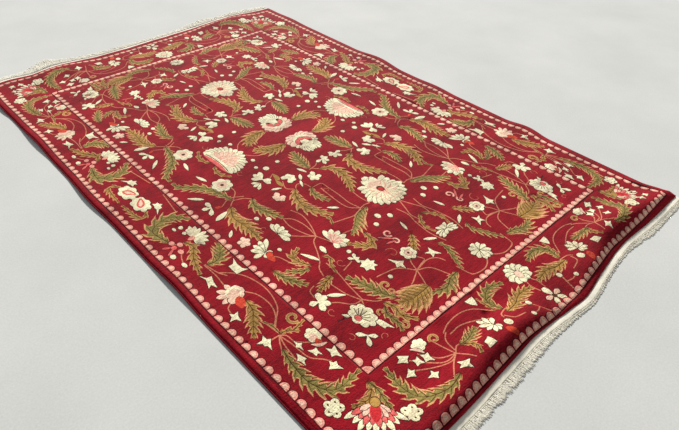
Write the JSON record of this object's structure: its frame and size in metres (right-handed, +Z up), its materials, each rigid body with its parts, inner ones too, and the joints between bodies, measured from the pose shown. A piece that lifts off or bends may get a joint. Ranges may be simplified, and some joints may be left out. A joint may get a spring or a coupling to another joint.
{
  "type": "tibetan rug",
  "caption": "Hand-knotted wool rug with a floral field, scalloped guard stripes, overcast sides and warp fringe at both ends, lying flat with slightly wavy edges.",
  "frame": {"origin": "middle of the rug's bounding box, on the floor plane under it", "axes": "+Z up, +Y along the rug from the near end to the far end, +X across it to the side on the right"},
  "size_m": [1.8568, 3.0294, 0.047],
  "materials": {
    "pile_wool": "matt cut wool pile, crimson",
    "edge_wool": "matt overcast wool yarn, dark crimson",
    "warp_cotton": "matt cotton, undyed"
  },
  "bodies": {
    "root": {"rug_pile": "pile_wool", "selvedge_left": "edge_wool", "selvedge_right": "edge_wool", "end_fringe_near": "warp_cotton", "end_fringe_far": "warp_cotton"}
  },
  "joints": []
}
